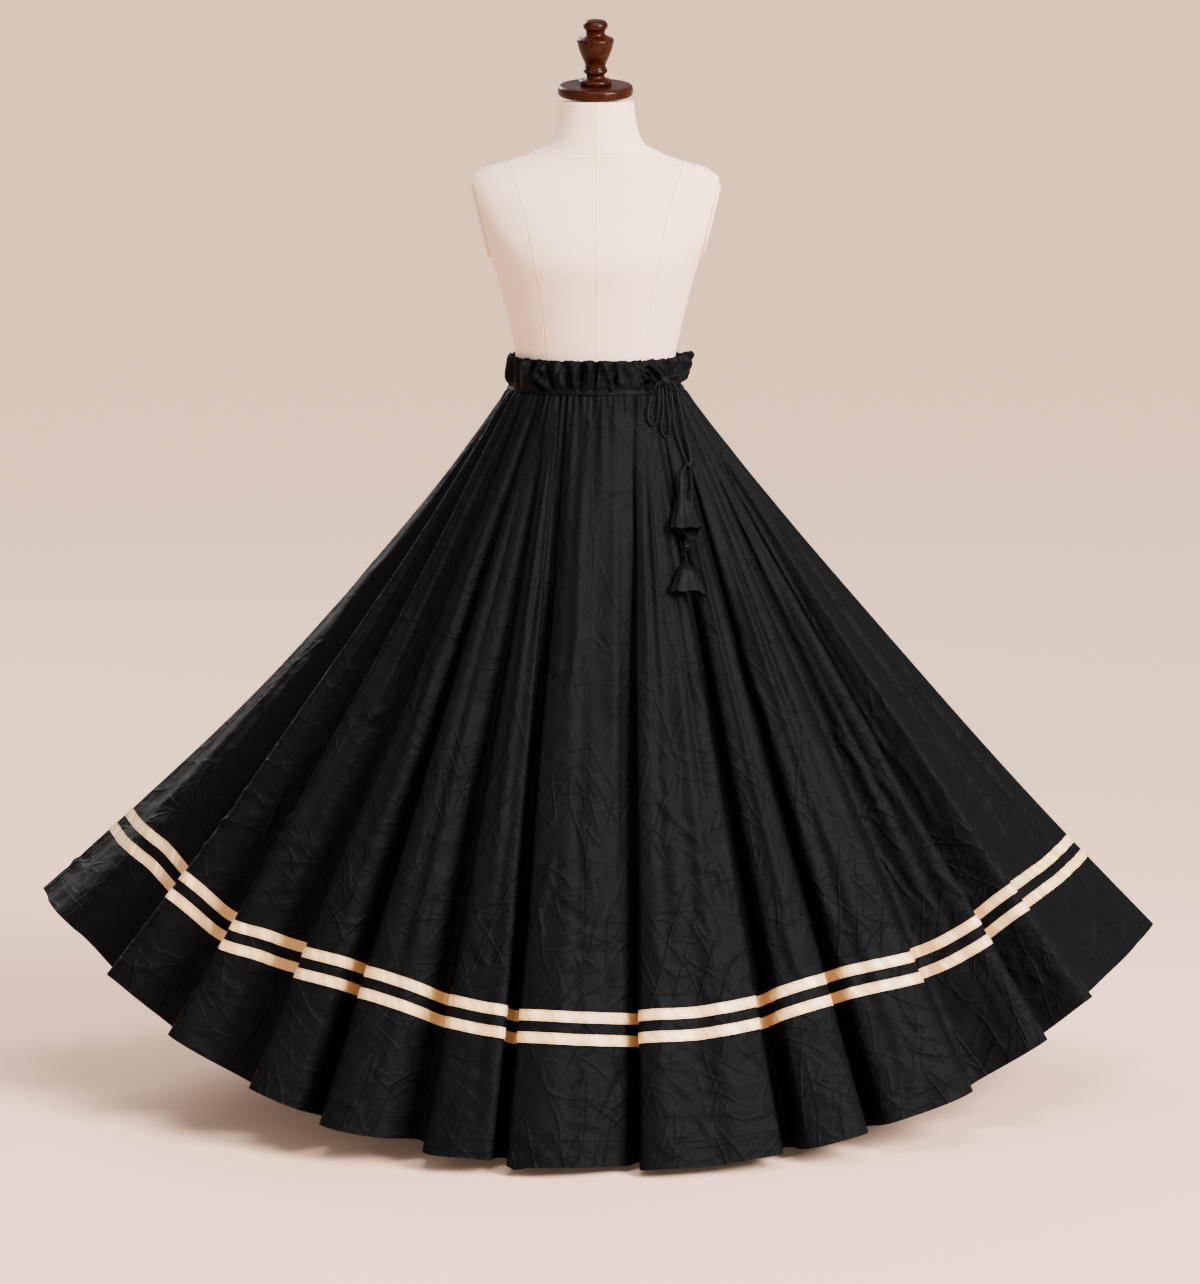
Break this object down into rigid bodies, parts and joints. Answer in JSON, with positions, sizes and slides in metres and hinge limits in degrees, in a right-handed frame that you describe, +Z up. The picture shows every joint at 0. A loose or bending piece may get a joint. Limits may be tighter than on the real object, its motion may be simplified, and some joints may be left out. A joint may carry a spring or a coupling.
{
  "type": "maxi skirt on a limbless dress form",
  "caption": "Full-length flared skirt of gored black cloth with a drawstring waist and gold ribbon bands, worn by a limbless dress form on a stand.",
  "frame": {"origin": "centre of the stand base's underside, on the floor", "axes": "+Z up along the pole, -Y out of the skirt's front, +X towards the side where the bow hangs"},
  "size_m": [1.6247, 0.9586, 1.5399],
  "materials": {
    "black_cotton": "plain woven, soft sheen, finely creased",
    "gold_satin": "satin ribbon",
    "linen": "matte, stretched over padding",
    "polished_wood": "dark stained and polished"
  },
  "bodies": {
    "root": {"front_gore_1": "black_cotton", "front_gore_2": "black_cotton", "front_gore_3": "black_cotton", "front_gore_4": "black_cotton", "front_gore_5": "black_cotton", "front_gore_6": "black_cotton", "back_gore_1": "black_cotton", "back_gore_2": "black_cotton", "back_gore_3": "black_cotton", "back_gore_4": "black_cotton", "back_gore_5": "black_cotton", "back_gore_6": "black_cotton", "upper_ribbon": "gold_satin", "lower_ribbon": "gold_satin", "waistband": "black_cotton", "bow_knot": "black_cotton", "bow_loop_left": "black_cotton", "bow_loop_right": "black_cotton", "tail_left": "black_cotton", "tail_right": "black_cotton", "tail_link": "black_cotton", "tail_lower": "black_cotton", "tail_knot": "black_cotton", "lower_knot": "black_cotton", "tassel_upper": "black_cotton", "tassel_lower": "black_cotton", "torso": "linen", "arm_plate_left": "linen", "arm_plate_right": "linen", "neck_cap": "polished_wood", "finial": "polished_wood", "pole": "polished_wood", "base": "polished_wood"}
  },
  "joints": []
}
